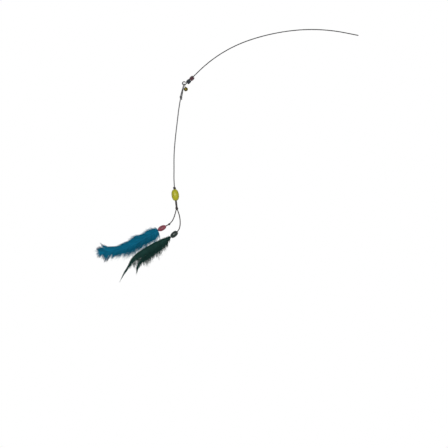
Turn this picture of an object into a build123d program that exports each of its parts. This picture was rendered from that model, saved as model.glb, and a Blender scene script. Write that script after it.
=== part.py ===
"""Cat teaser wand: a springy wire with two tri-lobed beads, a jingle bell and a tied cord with feather lures.

Millimetres, +Z up. The wand hangs in the XZ plane with its grip end at the origin. +X points out of the grip end,
and -Y is the side that the wand is looked at from.
"""

import math
import os

from build123d import *

os.makedirs("parts", exist_ok=True)

# Spring wire: a straight grip end, an arch of tangent bends (radius, turn), a straight tip and a bent eye
wire_dia = 1.8
wire_end_round = 0.5
grip_length = 24.0
grip_rise = 11.4
arch_bends = [(328.0, 17.6), (390.0, 12.4), (256.0, 13.6), (248.0, 12.1)]
tip_length = 37.5
eye_inner_dia = 4.4
eye_turn = 290.0

# Clearances
bead_clearance = 0.15
seat_gap = 0.3
link_gap = 0.1
glue_gap = 0.02

# Tri-lobed beads threaded on the tip of the wire
tri_bead_length = 8.4
lobe_dia = 4.4
lobe_end_dia = 2.2
lobe_circle_dia = 4.8
tri_core_dia = 5.0
tri_core_inset = 1.0

# Jump ring and jingle bell, which leans away from the cord beside it
ring_inner_dia = 4.0
ring_wire_dia = 0.8
ring_side = 1.5
ring_slit = 0.15
bell_dia = 8.0
bell_wall = 0.4
bell_lean = 19.0
bell_rim_width = 0.3
bell_rim_height = 0.45
bell_slot_width = 0.9
bell_slot_length = 5.4
bell_slot_end_dia = 1.6
shank_inner_dia = 2.1
shank_wire_dia = 0.7
shank_sink = 0.5
pellet_dia = 2.2

# Cord and its knots
cord_dia = 2.0
bend_share = 0.45
knot_turn_dia = 1.8
knot_waist_dia = 3.2
knot_end_dia = 2.0
knot_turn_pitch = 1.1

# Loop through the eye: it hangs at loop_lean from plumb and turns a quarter on its way to the knot
loop_lean = 12.5
loop_length = 24.0
loop_leg = [(21.9, -1.1, -0.3), (15.0, -0.9, -1.0), (8.5, -0.35, -1.8)]
loop_shoulder = 2.6
tail_run = [(0.6, -2.4, -1.4), (1.3, -3.2, -3.4), (1.5, -3.3, -5.2)]

# Main cord, as offsets from the loop's knot, and the knot that ends it
main_run = [
    (-0.78, 0.0, -2.38),
    (-3.9, 0.0, -19.2),
    (-6.9, 0.0, -45.2),
    (-10.9, 0.0, -78.2),
    (-13.4, 0.0, -110.2),
    (-13.2, 0.0, -140.2),
    (-13.5, 0.0, -156.2),
    (-12.44, 0.0, -170.6),
]
gather_knot_offset = (-12.3, 0.0, -172.7)

# Doubled neck below the main cord, and the bead that slides on it
neck_length = 38.6
neck_lean = 6.4
neck_turn = 35.0
gather_bead_dia = 14.4
gather_bead_length = 21.3
gather_bead_flat = 0.5

# Two branches, as offsets from the knot where the neck splits
blue_run = [
    (-1.0, 1.2, -2.1),
    (-2.9, 3.6, -8.9),
    (-5.2, 6.0, -16.3),
    (-8.9, 8.2, -24.1),
    (-14.9, 10.0, -30.1),
    (-22.3, 11.0, -34.2),
]
green_run = [
    (1.0, -1.2, -2.1),
    (3.8, -3.4, -8.6),
    (5.8, -5.5, -16.2),
    (6.9, -7.6, -24.4),
    (6.8, -9.4, -32.8),
    (4.7, -10.6, -40.7),
    (0.7, -11.0, -44.8),
]
stop_knot_scale = 0.72

# Tip beads that hold a cord end on one side and a quill on the other
cord_seat = 1.2
quill_seat = 4.5
tip_bead_flat = 0.6
pink_bead_dia = 10.0
pink_bead_length = 17.0
pink_bead_slope = 27.7
green_bead_dia = 10.4
green_bead_length = 16.0
green_bead_slope = 40.7

# Feathers: shaft points as (along -X, along -Z) from the bead's mouth, shaft diameters from quill to tip, and
# stations along the shaft as (distance, vane above the shaft, vane below it, thickness). A notch between two tufts is
# (distance, height above the shaft, heading from the shaft's direction, opening angle)
plume_shaft = [(19.0, 10.0), (47.0, 25.0), (74.0, 36.0), (99.0, 41.0), (112.0, 42.0)]
plume_shaft_dias = (1.8, 0.5)
plume_vane = [
    (0.6, 3.5, 3.5, 2.6),
    (3.0, 8.0, 9.5, 3.6),
    (8.0, 9.8, 14.0, 4.2),
    (20.0, 11.0, 14.0, 4.4),
    (38.0, 9.6, 13.6, 4.4),
    (56.0, 11.4, 14.4, 4.2),
    (74.0, 10.2, 14.0, 3.6),
    (90.0, 8.2, 12.4, 2.8),
    (106.0, 8.4, 11.4, 2.0),
    (118.0, 10.4, 11.0, 1.2),
]
plume_notches = [
    (108.0, 5.0, 12.0, 20.0),
    (106.0, -1.0, 0.0, 20.0),
    (108.0, -6.6, -12.0, 20.0),
    (58.0, -11.5, -55.0, 16.0),
]
long_shaft = [(14.7, 5.2), (34.7, 15.2), (54.7, 27.2), (68.7, 38.7), (78.7, 53.7), (86.7, 66.7), (94.7, 80.7)]
long_shaft_dias = (1.0, 0.4)
long_vane = [
    (2.0, 1.4, 2.4, 1.0),
    (8.0, 3.4, 9.0, 1.8),
    (17.0, 3.6, 16.0, 2.8),
    (38.0, 3.4, 16.4, 2.8),
    (61.0, 4.2, 13.0, 2.6),
    (80.0, 4.4, 9.0, 2.2),
    (96.0, 3.0, 4.4, 1.6),
    (106.0, 0.9, 1.0, 1.0),
]
long_depth = -3.0
long_notches = [(17.0, -11.0, -62.0, 16.0), (26.0, -9.0, -62.0, 14.0), (64.0, -7.5, -55.0, 16.0)]
short_shaft = [(16.7, 14.7), (36.7, 29.7), (52.7, 42.7), (60.7, 53.7), (65.0, 67.8)]
short_shaft_dias = (1.0, 0.4)
short_vane = [
    (2.0, 1.4, 1.8, 1.0),
    (10.0, 4.6, 7.0, 1.8),
    (26.0, 6.6, 8.6, 2.6),
    (48.0, 7.0, 10.0, 2.6),
    (66.0, 6.4, 8.0, 2.2),
    (80.0, 4.2, 4.6, 1.6),
    (94.0, 0.8, 0.8, 1.0),
]
short_depth = 3.0
short_notches = [(26.0, -5.0, -55.0, 14.0), (50.0, -6.0, -50.0, 14.0)]
quill_spread = 0.62
shaft_steps = 16
notch_reach = 40.0

across = Vector(0, 1, 0)
down = Vector(0, 0, -1)
wire_r = wire_dia / 2
cord_r = cord_dia / 2


def leaning(angle):
    """Unit vector that points down, leaning towards +X by an angle in degrees."""
    return down.rotate(Axis.Y, -angle)


def turning_plane(centre, axis):
    """Plane whose local X is square to an axis, in the XZ plane or nearest it, and whose local Y is the axis."""
    side = across.cross(axis).normalized()
    return Plane(origin=centre, x_dir=side, z_dir=side.cross(axis))


def places(start, offsets):
    """Points at the given offsets from a start."""
    return [start + Vector(*offset) for offset in offsets]


def corner_radii(points):
    """Largest tangent arc at each inner point of a route, from its shorter run and its turn."""
    radii = []
    for before, corner, after in zip(points, points[1:], points[2:]):
        run_in = corner - before
        run_out = after - corner
        half_turn = math.radians(run_in.get_angle(run_out)) / 2
        radii.append(bend_share * min(run_in.length, run_out.length) / math.tan(half_turn))
    return radii


def cord_tube(label, points):
    """Round cord along straight runs joined by tangent arcs."""
    radii = corner_radii(points)
    with BuildPart() as tube:
        with BuildLine() as route:
            FilletPolyline(*points, radius=radii)
        with BuildSketch(Plane(origin=route.line @ 0, z_dir=route.line % 0)):
            Circle(cord_r)
        sweep(path=route.line)
    length = route.wire().length
    ratio = tube.part.volume / (math.pi * cord_r**2 * length)
    print(f"{label}: length {length:.1f}, volume ratio {ratio:.4f}, radii {[round(r, 1) for r in radii]}")
    return save(tube.part, label)


def save(part, label):
    """Label a finished piece and write it."""
    part.label = label
    export_step(part, f"parts/{label}.step")
    return part


def knot(label, centre, axis, scale=1.0):
    """Tight overhand knot as three stacked turns of cord around an axis."""
    plane = turning_plane(centre, axis)
    turn_r = scale * knot_turn_dia / 2
    pitch = scale * knot_turn_pitch
    with BuildPart() as body:
        with BuildSketch(plane):
            with Locations((scale * knot_waist_dia / 2, 0)):
                Circle(turn_r)
            with Locations((scale * knot_end_dia / 2, pitch), (scale * knot_end_dia / 2, -pitch)):
                Circle(turn_r)
            with Locations((scale * knot_end_dia / 4, 0)):
                Rectangle(scale * knot_end_dia / 2, 2 * pitch)
        revolve(axis=Axis(centre, axis))
    return save(body.part, label)


knot_rise = knot_turn_pitch + knot_turn_dia / 2


# Spring wire
with BuildPart() as spring_wire:
    with BuildLine(Plane.XZ) as wire_line:
        rise = math.radians(grip_rise)
        along_x = math.cos(rise)
        along_z = math.sin(rise)
        wire_end = (wire_end_round * along_x, -wire_end_round * along_z)
        stretch = Line(wire_end, (-grip_length * along_x, grip_length * along_z))
        for bend_radius, bend_turn in arch_bends:
            stretch = JernArc(stretch @ 1, stretch % 1, bend_radius, bend_turn)
        tip = Line(stretch @ 1, stretch @ 1 + (stretch % 1) * tip_length)
        eye = JernArc(tip @ 1, tip % 1, eye_inner_dia / 2 + wire_r, -eye_turn)
    with BuildSketch(Plane(origin=wire_line.line @ 0, z_dir=wire_line.line % 0)):
        Circle(wire_r)
    sweep(path=wire_line.line)
    grip_face = spring_wire.faces().filter_by(GeomType.PLANE).sort_by_distance((0, 0, 0))[0]
    fillet(grip_face.edges(), wire_end_round)
save(spring_wire.part, "spring_wire")

eye_centre = eye.center_point
eye_r = eye_inner_dia / 2 + wire_r
stem_foot = tip @ 1
stem = -(tip % 1)


# Tri-lobed beads
def tri_bead(label, centre):
    """Three barrel lobes round a core, bored for the wire."""
    plane = turning_plane(centre, stem)
    with BuildPart() as bead:
        for lobe in range(3):
            radial = plane.x_dir.rotate(Axis((0, 0, 0), stem), lobe * 360 / 3)
            lobe_centre = centre + radial * (lobe_circle_dia / 2)
            with BuildSketch(Plane(origin=lobe_centre, x_dir=radial, z_dir=radial.cross(stem))):
                with BuildLine():
                    top = (lobe_end_dia / 2, tri_bead_length / 2)
                    foot = (lobe_end_dia / 2, -tri_bead_length / 2)
                    ThreePointArc(foot, (lobe_dia / 2, 0), top)
                    Polyline(top, (0, tri_bead_length / 2), (0, -tri_bead_length / 2), foot)
                make_face()
            revolve(axis=Axis(lobe_centre, stem))
        with BuildSketch(Plane(origin=centre, z_dir=stem)):
            Circle(tri_core_dia / 2)
        extrude(amount=tri_bead_length / 2 - tri_core_inset, both=True)
        with BuildSketch(Plane(origin=centre, z_dir=stem)):
            Circle(wire_r + bead_clearance)
        extrude(amount=tri_bead_length, both=True, mode=Mode.SUBTRACT)
    return save(bead.part, label)


lower_bead_rise = eye_r + wire_r + seat_gap + tri_bead_length / 2
upper_bead_rise = lower_bead_rise + tri_bead_length + seat_gap
tri_bead("tri_bead_lower", stem_foot + stem * lower_bead_rise)
tri_bead("tri_bead_upper", stem_foot + stem * upper_bead_rise)

# Jump ring, hooked through the eye beside the cord
ring_wire_r = ring_wire_dia / 2
ring_r = ring_inner_dia / 2 + ring_wire_r
hook_reach = eye_inner_dia / 2 - ring_wire_r - link_gap
hook = eye_centre + Vector(ring_side, 0, -math.sqrt(hook_reach**2 - ring_side**2))
ring_centre = hook + down * ring_r
with BuildPart(Plane(origin=ring_centre, x_dir=(0, 1, 0), z_dir=(1, 0, 0))) as jump_ring:
    Torus(ring_r, ring_wire_r)
    with Locations((ring_r, 0, 0)):
        Box(2 * ring_wire_dia, ring_slit, 2 * ring_wire_dia, mode=Mode.SUBTRACT)
save(jump_ring.part, "jump_ring")

# Jingle bell: a shank loop, two stamped cups that meet at a rim, and a loose pellet
bell_pivot = ring_centre + down * ring_r
bell_down = leaning(bell_lean)
bell_r = bell_dia / 2
shank_wire_r = shank_wire_dia / 2
shank_r = shank_inner_dia / 2 + shank_wire_r
shank_top = ring_wire_r + shank_wire_r + link_gap
shank_foot = 2 * shank_r - shank_top + shank_wire_r
shank_centre = bell_pivot + bell_down * (shank_r - shank_top)
bell_centre = bell_pivot + bell_down * (shank_foot - shank_sink + bell_r)
bell_plane = turning_plane(bell_centre, -bell_down)
bell_axis = Axis(bell_centre, -bell_down)

with BuildPart(Plane(origin=shank_centre, x_dir=(1, 0, 0), z_dir=(0, -1, 0))) as bell_shank:
    Torus(shank_r, shank_wire_r)
save(bell_shank.part, "bell_shank")


def cup_profile(side):
    """Corners of half of the bell's shell, above (+1) or below (-1) its rim, as (radius, height)."""
    inner_r = bell_r - bell_wall
    rim_r = bell_r + bell_rim_width
    rim_height = side * bell_rim_height
    shoulder_r = math.sqrt(bell_r**2 - bell_rim_height**2)
    slant = math.sqrt(1 / 2)
    rim = [(inner_r, 0), (rim_r, 0), (rim_r, rim_height), (shoulder_r, rim_height)]
    outside = [(shoulder_r, rim_height), (bell_r * slant, side * bell_r * slant), (0, side * bell_r)]
    inside = [(0, side * inner_r), (inner_r * slant, side * inner_r * slant), (inner_r, 0)]
    return rim, outside, inside


rim, outside, inside = cup_profile(1)
with BuildPart() as bell_upper_cup:
    with BuildSketch(bell_plane):
        with BuildLine():
            Polyline(*rim)
            ThreePointArc(*outside)
            Line(outside[-1], inside[0])
            ThreePointArc(*inside)
        make_face()
    revolve(axis=bell_axis)
    with BuildSketch(Plane(origin=shank_centre, z_dir=across)):
        Circle(shank_r + shank_wire_r + glue_gap)
    extrude(amount=shank_wire_r + glue_gap, both=True, mode=Mode.SUBTRACT)
save(bell_upper_cup.part, "bell_upper_cup")

rim, outside, inside = cup_profile(-1)
with BuildPart() as bell_lower_cup:
    with BuildSketch(bell_plane):
        with BuildLine():
            Polyline(*rim)
            ThreePointArc(*outside)
            Line(outside[-1], inside[0])
            ThreePointArc(*inside)
        make_face()
    revolve(axis=bell_axis)
    with BuildSketch(Plane(origin=bell_centre, x_dir=(0, 1, 0), z_dir=bell_down)):
        Rectangle(bell_slot_length, bell_slot_width)
        Rectangle(bell_slot_width, bell_slot_length)
        with PolarLocations(bell_slot_length / 2, 4):
            Circle(bell_slot_end_dia / 2)
    extrude(amount=bell_dia, mode=Mode.SUBTRACT)
save(bell_lower_cup.part, "bell_lower_cup")

pellet_rest = bell_r - bell_wall - pellet_dia / 2 - link_gap
with BuildPart(Plane(origin=bell_centre + bell_down * pellet_rest, z_dir=bell_down)) as bell_pellet:
    Sphere(pellet_dia / 2)
save(bell_pellet.part, "bell_pellet")

# Cord loop through the eye, its knot and its cut tail
loop_down = leaning(-loop_lean)
loop_side = loop_down.cross(across)
loop_hook = eye_centre + loop_down * eye_r
strand = wire_r + cord_r + bead_clearance


def loop_point(along, aside, depth):
    """Point of the loop, by its distance down the loop, aside of it and behind it."""
    return loop_hook + loop_down * along + loop_side * aside + across * depth


front_leg = [loop_point(*place) for place in loop_leg]
back_leg = [loop_point(along, -aside, -depth) for along, aside, depth in reversed(loop_leg)]
over_wire = [(loop_shoulder, -strand), (-strand, -strand), (-strand, strand), (loop_shoulder, strand)]
cord_tube("hanger_loop", front_leg + [loop_point(along, 0, depth) for along, depth in over_wire] + back_leg)

hanger_knot = loop_hook + loop_down * loop_length
knot("hanger_knot", hanger_knot, loop_down)
cord_tube("hanger_tail", places(hanger_knot, tail_run))

# Main cord and the knot that joins it to the doubled neck
cord_tube("main_cord", places(hanger_knot, main_run))
gather_knot = hanger_knot + Vector(*gather_knot_offset)
neck_down = leaning(neck_lean)
knot("gather_knot", gather_knot, neck_down)

# Neck: two strands side by side from knot to knot
split_knot = gather_knot + neck_down * neck_length
strand_side = neck_down.cross(across).rotate(Axis((0, 0, 0), neck_down), neck_turn) * (cord_r + link_gap)
with BuildPart() as neck_cords:
    neck_start = gather_knot + neck_down * (knot_rise + glue_gap)
    with BuildSketch(Plane(origin=neck_start, x_dir=strand_side, z_dir=neck_down)):
        with Locations((strand_side.length, 0), (-strand_side.length, 0)):
            Circle(cord_r)
    extrude(amount=neck_length - 2 * (knot_rise + glue_gap))
save(neck_cords.part, "neck_cords")
knot("split_knot", split_knot, neck_down)


def oval_bead(label, centre, axis, dia, length, flat, bore_dia):
    """Oval bead with flat ends, bored along its axis."""
    plane = turning_plane(centre, axis)
    with BuildPart() as bead:
        with BuildSketch(plane):
            Ellipse(dia / 2, length / 2 + flat)
            with Locations((bore_dia / 2 - dia / 2, 0)):
                Rectangle(dia, 2 * length, mode=Mode.SUBTRACT)
            with Locations((0, length), (0, -length)):
                Rectangle(2 * dia, length, mode=Mode.SUBTRACT)
        revolve(axis=Axis(centre, axis))
    return save(bead.part, label)


# Gather bead, pushed up against its knot
gather_bead_rise = knot_rise + seat_gap + gather_bead_length / 2
neck_bore_dia = 2 * (cord_dia + link_gap + bead_clearance)
oval_bead(
    "gather_bead",
    gather_knot + neck_down * gather_bead_rise,
    neck_down,
    gather_bead_dia,
    gather_bead_length,
    gather_bead_flat,
    neck_bore_dia,
)

# Branch cords
blue_points = places(split_knot, blue_run)
green_points = places(split_knot, green_run)
cord_tube("blue_branch_cord", blue_points)
cord_tube("green_branch_cord", green_points)
knot("blue_stop_knot", blue_points[-2], blue_points[-1] - blue_points[-2], stop_knot_scale)

# Tip beads, each with a glue plug between the cord's end and the quill
tip_bore_dia = cord_dia + 2 * seat_gap + link_gap


def tip_bead(bead_label, plug_label, cord_end, slope, dia, length):
    """Bead whose bore takes the cord's end, and its glue plug. Gives the far mouth and the bead's direction."""
    axis = Vector(-1, 0, 0).rotate(Axis.Y, -slope)
    near = cord_end - axis * cord_seat
    oval_bead(bead_label, near + axis * (length / 2), axis, dia, length, tip_bead_flat, tip_bore_dia)
    plug_length = length - cord_seat - seat_gap - quill_seat
    with BuildPart() as plug:
        with BuildSketch(Plane(origin=cord_end + axis * seat_gap, z_dir=axis)):
            Circle(tip_bore_dia / 2 - glue_gap)
        extrude(amount=plug_length - glue_gap)
    save(plug.part, plug_label)
    return near + axis * length, axis


pink_mouth, pink_axis = tip_bead(
    "pink_tip_bead", "pink_glue_plug", blue_points[-1], pink_bead_slope, pink_bead_dia, pink_bead_length
)
green_mouth, green_axis = tip_bead(
    "green_tip_bead", "green_glue_plug", green_points[-1], green_bead_slope, green_bead_dia, green_bead_length
)


def tapered_shaft(planes, dias, extra=0.0):
    """Round shaft through planes, with a diameter for each of them, grown by an extra radius."""
    with BuildPart() as shaft:
        for plane, dia in zip(planes, dias):
            with BuildSketch(plane):
                Circle(dia / 2 + extra)
        loft(ruled=True)
    return shaft.part


def feather(name, mouth, axis, shaft_points, shaft_dias, vane_stations, notches, quill_depth=0.0, depth=0.0):
    """Feather as a tapered shaft and a lens-shaped vane grown along it, with notches between its tufts."""
    root = mouth + across * quill_depth
    line_points = [root] + [mouth + Vector(-out, depth, -drop) for out, drop in shaft_points]
    with BuildLine() as shaft_line:
        Line(root - axis * quill_seat, root)
        Spline(*line_points, tangents=(axis, line_points[-1] - line_points[-2]))
    spine = shaft_line.wire()

    def station(distance):
        """Plane square to the shaft at a distance from the bead, with local X up and local Y across."""
        place = spine.position_at(quill_seat + distance, PositionMode.LENGTH)
        along = spine.tangent_at(quill_seat + distance, PositionMode.LENGTH)
        return Plane(origin=place, x_dir=across.cross(along), z_dir=along)

    free_length = spine.length - quill_seat
    steps = [-quill_seat] + [free_length * step / shaft_steps for step in range(shaft_steps + 1)]
    slimming = (shaft_dias[0] - shaft_dias[1]) / spine.length
    dias = [shaft_dias[0] - slimming * (quill_seat + step) for step in steps]
    shaft_planes = [station(step) for step in steps]
    save(tapered_shaft(shaft_planes, dias), f"{name}_shaft")

    shaft_room = tapered_shaft(shaft_planes, dias, glue_gap)
    with BuildPart() as vane:
        for distance, above, below, thickness in vane_stations:
            middle = (above - below) / 2
            with BuildSketch(station(distance)):
                with BuildLine():
                    ThreePointArc((-below, 0), (middle, thickness / 2), (above, 0))
                    ThreePointArc((above, 0), (middle, -thickness / 2), (-below, 0))
                make_face()
        loft()
        for distance, height, heading, spread in notches:
            here = station(distance)
            sides = [math.radians(heading + half * spread / 2) for half in (1, -1)]
            mouths = [(notch_reach * math.cos(s), height + notch_reach * math.sin(s)) for s in sides]
            with BuildSketch(Plane(origin=here.origin, x_dir=here.z_dir, z_dir=here.z_dir.cross(here.x_dir))):
                Polygon((0, height), *mouths, align=None)
            extrude(amount=notch_reach, both=True, mode=Mode.SUBTRACT)
        add(shaft_room, mode=Mode.SUBTRACT)
    save(vane.part, f"{name}_vane")
    print(f"{name}: shaft {spine.length:.1f}, vane {vane.part.volume:.0f}, solids {len(vane.part.solids())}")


feather("blue_plume", pink_mouth, pink_axis, plume_shaft, plume_shaft_dias, plume_vane, plume_notches)
feather(
    "long_hackle",
    green_mouth,
    green_axis,
    long_shaft,
    long_shaft_dias,
    long_vane,
    long_notches,
    -quill_spread,
    long_depth,
)
feather(
    "short_hackle",
    green_mouth,
    green_axis,
    short_shaft,
    short_shaft_dias,
    short_vane,
    short_notches,
    quill_spread,
    short_depth,
)

print("eye", eye_centre, "stem", stem, "foot", stem_foot)
print("hanger knot", hanger_knot, "gather", gather_knot, "split", split_knot)
print("ring", ring_centre, "bell pivot", bell_pivot, "bell", bell_centre, "hook", loop_hook)
print("pink mouth", pink_mouth, "green mouth", green_mouth)
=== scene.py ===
"""Looks of the cat teaser wand: barbed feathers, tied cords, dyed beads and aged metal."""

import math
from collections import namedtuple

import bmesh
import bpy
import numpy as np
from bpy.props import FloatProperty, FloatVectorProperty, IntProperty, PointerProperty
from mathutils import Matrix, Vector


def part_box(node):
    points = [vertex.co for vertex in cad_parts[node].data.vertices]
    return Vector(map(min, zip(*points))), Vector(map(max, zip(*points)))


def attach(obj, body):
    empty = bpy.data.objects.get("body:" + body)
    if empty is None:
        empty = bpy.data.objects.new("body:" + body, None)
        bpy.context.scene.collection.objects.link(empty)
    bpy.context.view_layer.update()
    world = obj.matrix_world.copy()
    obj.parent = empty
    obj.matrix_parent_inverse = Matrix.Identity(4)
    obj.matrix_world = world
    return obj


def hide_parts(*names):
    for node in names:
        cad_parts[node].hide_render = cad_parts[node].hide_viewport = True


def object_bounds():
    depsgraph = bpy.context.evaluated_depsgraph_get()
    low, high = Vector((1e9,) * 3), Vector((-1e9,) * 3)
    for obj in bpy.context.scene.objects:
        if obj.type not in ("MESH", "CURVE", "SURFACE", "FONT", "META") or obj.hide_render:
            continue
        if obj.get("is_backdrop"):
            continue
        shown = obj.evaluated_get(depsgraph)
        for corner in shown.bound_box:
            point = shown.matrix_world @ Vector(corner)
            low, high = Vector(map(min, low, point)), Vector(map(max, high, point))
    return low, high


bl_info = {
    "name": "Cat Teaser Wand",
    "version": (1, 0, 0),
    "blender": (4, 5, 0),
    "location": "View3D > Sidebar > Wand",
    "description": "Dresses the wand's frame with feathers, cords, beads and finishes",
    "category": "Object",
}

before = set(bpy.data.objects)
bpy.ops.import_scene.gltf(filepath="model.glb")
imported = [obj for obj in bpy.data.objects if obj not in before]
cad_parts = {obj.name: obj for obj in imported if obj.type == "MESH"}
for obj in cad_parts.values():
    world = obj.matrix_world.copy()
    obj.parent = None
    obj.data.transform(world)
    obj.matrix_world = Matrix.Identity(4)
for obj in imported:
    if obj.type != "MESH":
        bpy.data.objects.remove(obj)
cad_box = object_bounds()

MM = 0.001
ACROSS = Vector((0, 1, 0))

# Camera: the picture is 448 pixels wide, and one pixel is 1.9 mm in the wand's plane
PICTURE_WIDTH = 448 * 1.9 * MM
PICTURE_CENTRE = Vector((-0.255, 0, -0.3583))
LENS = 0.085
SENSOR = 0.036

# Stage in metres: each lamp has a name, a place, a size, a power in watts and a colour
LAMP_TARGET = Vector((-0.28, 0, -0.25))
LAMPS = [
    ("key_lamp", Vector((-0.6, -2.3, 0.0)), 1.0, 44.0, (1.0, 0.99, 0.97)),
    ("fill_lamp", Vector((0.9, -1.6, -0.3)), 1.0, 7.0, (0.95, 0.98, 1.0)),
    ("back_lamp", Vector((0.2, 1.7, 0.5)), 1.2, 16.0, (1.0, 1.0, 1.0)),
]
WHITE = (1, 1, 1, 1)
SOFT_LIGHT = (0.96, 0.98, 1.0, 1)
SOFT_STRENGTH = 0.18
FLOOR_PLACE = Vector((-0.25, 0, -1.0))
FLOOR_RADIUS = 0.85
FLOOR_SIDES = 96
FLOOR_GLOW = 0.4

# Cord routes in millimetres: the loop's points are (down the loop, aside of it, behind it), and the
# other cords' points are offsets from the knot that they hang on
LOOP_LEAN = 12.5
LOOP_LENGTH = 24.0
LOOP_ROUTE = [
    (21.9, -1.1, -0.3), (15.0, -0.9, -1.0), (8.5, -0.35, -1.8), (2.6, 0.0, -2.05),
    (-2.05, 0.0, -2.05), (-2.05, 0.0, 2.05),
    (2.6, 0.0, 2.05), (8.5, 0.35, 1.8), (15.0, 0.9, 1.0), (21.9, 1.1, 0.3),
]
TAIL_ROUTE = [(0.2, -0.9, -0.4), (0.6, -2.4, -1.4), (1.3, -3.2, -3.4), (1.5, -3.3, -5.2)]
MAIN_ROUTE = [
    (-0.78, 0.0, -2.38), (-3.9, 0.0, -19.2), (-6.9, 0.0, -45.2), (-10.9, 0.0, -78.2),
    (-13.4, 0.0, -110.2), (-13.2, 0.0, -140.2), (-13.5, 0.0, -156.2), (-12.44, 0.0, -170.6),
]
BLUE_ROUTE = [
    (-1.0, 1.2, -2.1), (-2.9, 3.6, -8.9), (-5.2, 6.0, -16.3),
    (-8.9, 8.2, -24.1), (-14.9, 10.0, -30.1), (-22.3, 11.0, -34.2),
]
GREEN_ROUTE = [
    (1.0, -1.2, -2.1), (3.8, -3.4, -8.6), (5.8, -5.5, -16.2), (6.9, -7.6, -24.4),
    (6.8, -9.4, -32.8), (4.7, -10.6, -40.7), (0.7, -11.0, -44.8),
]
NECK_LEAN = 6.4
NECK_TURN = 35.0
NECK_STRAND_OFFSET = 1.1
NECK_STRAND_LENGTH = 34.5

# Knots: a small scale for the stop knot, the rise of the strand over itself, and the mesh's counts
STOP_KNOT_SCALE = 0.74
KNOT_RISE = 0.92
KNOT_STEPS = 120
KNOT_SIDES = 12
TUCK_OVERLAP = 0.3 * MM
TUCK_SHARE = 0.49
TUCK_SIDES = 16

# Beads: width, length and bore in millimetres, how the outline swells, and the mesh's counts
Bead = namedtuple("Bead", "width length bore power steps sides")
GATHER_BEAD = Bead(14.4, 21.3, 4.5, 1.0, 40, 72)
PINK_BEAD = Bead(10.0, 17.0, 2.7, 1.25, 36, 64)
PINK_SLOPE = 27.7
GREEN_BEAD = Bead(10.4, 16.0, 2.7, 0.95, 36, 64)
GREEN_SLOPE = 40.7
BORE_SHARE = 0.96
BORE_STOPS = (0.97, 0.5, 0.0, -0.5, -0.97)

# Feathers in millimetres: a shaft has points as (left, down) from the bead's mouth, an outline has
# the vane's (distance along the shaft, width above, width below, half thickness), and a reach has
# how far forward the barbs lean as (distance, above, below)
QUILL_SEAT = 4.5
QUILL_SIDES = 12
SHAFT_STEPS = 24
PLUME_SHAFT = [(19.0, 10.0), (47.0, 25.0), (74.0, 36.0), (99.0, 41.0), (112.0, 42.0)]
PLUME_OUTLINE = [
    (0.0, 4.6, 5.0, 2.0), (3.0, 8.6, 13.0, 2.6), (6.0, 10.0, 18.6, 3.0), (20.0, 11.4, 18.2, 3.4),
    (30.0, 9.8, 17.0, 3.4), (39.0, 8.0, 16.2, 3.4), (46.0, 11.2, 16.0, 3.4),
    (53.0, 12.8, 15.8, 3.2), (60.0, 10.8, 17.2, 3.2), (67.0, 8.8, 17.0, 3.0),
    (80.0, 8.4, 14.6, 2.6), (92.0, 7.6, 11.6, 2.2), (105.0, 9.4, 10.0, 1.8),
    (122.0, 10.8, 10.6, 1.4),
]
PLUME_REACH = [
    (0.0, 2.0, 2.0), (4.0, 5.0, 5.0), (12.0, 14.0, 12.0), (30.0, 20.0, 19.0),
    (80.0, 22.0, 21.0), (108.0, 15.0, 15.0),
]
FAN_OUTLINE = [
    (104.0, 16.5, 16.5, 2.0), (116.0, 15.0, 15.0, 2.0), (122.0, 11.0, 11.0, 1.8),
    (127.0, 6.0, 6.0, 1.4), (131.0, 0.6, 0.6, 1.0),
]
FAN_REACH = [(88.0, 24.0, 24.0), (100.0, 18.0, 18.0), (112.0, 13.0, 13.0), (121.0, 9.0, 9.0)]
LONG_SHAFT = [
    (14.7, 5.2), (34.7, 15.2), (54.7, 27.2), (68.7, 38.7), (78.7, 53.7), (86.7, 66.7), (94.7, 80.7),
]
LONG_OUTLINE = [
    (0.0, 2.2, 0.6, 0.8), (4.0, 3.4, 2.4, 0.9), (8.0, 3.6, 5.4, 1.0), (17.0, 2.8, 12.0, 1.2),
    (30.0, 2.4, 15.6, 1.2), (61.0, 2.6, 17.0, 1.2), (80.0, 2.4, 14.0, 1.0), (96.0, 1.7, 7.0, 0.8),
    (105.0, 1.8, 2.2, 0.7), (116.0, 1.6, 1.6, 0.6), (122.0, 1.0, 1.0, 0.5), (131.0, 0.3, 0.3, 0.4),
]
LONG_REACH = [
    (0.0, 3.0, 6.0), (10.0, 11.0, 9.0), (60.0, 14.0, 9.0), (90.0, 14.0, 12.0), (131.0, 8.0, 8.0),
]
SHORT_SHAFT = [(16.7, 14.7), (36.7, 29.7), (52.7, 42.7), (60.7, 53.7), (65.0, 67.8)]
SHORT_OUTLINE = [
    (0.0, 2.2, 0.4, 0.8), (5.0, 3.6, 2.2, 0.9), (10.0, 4.6, 4.4, 0.9), (20.0, 6.0, 8.6, 1.0),
    (32.0, 6.6, 11.6, 1.1), (48.0, 7.0, 12.4, 1.1), (66.0, 7.4, 9.6, 1.0), (80.0, 5.2, 5.2, 0.8),
    (96.0, 0.8, 0.8, 0.5),
]
SHORT_REACH = [(0.0, 3.0, 6.0), (10.0, 10.0, 9.0), (60.0, 12.0, 9.0), (96.0, 8.0, 8.0)]

# Webs: the share of the vane's width at the base and at the end, the runs over which it changes,
# and the thickness as a share of the vane's
WEB_START = 0.3
WEB_BASE_SHARE = 0.48
WEB_END_SHARE = 0.1
WEB_BASE_RUN = 14.0
WEB_END_RUN = 20.0
WEB_THICKNESS = 0.1
WEB_SIDES = 16

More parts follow.
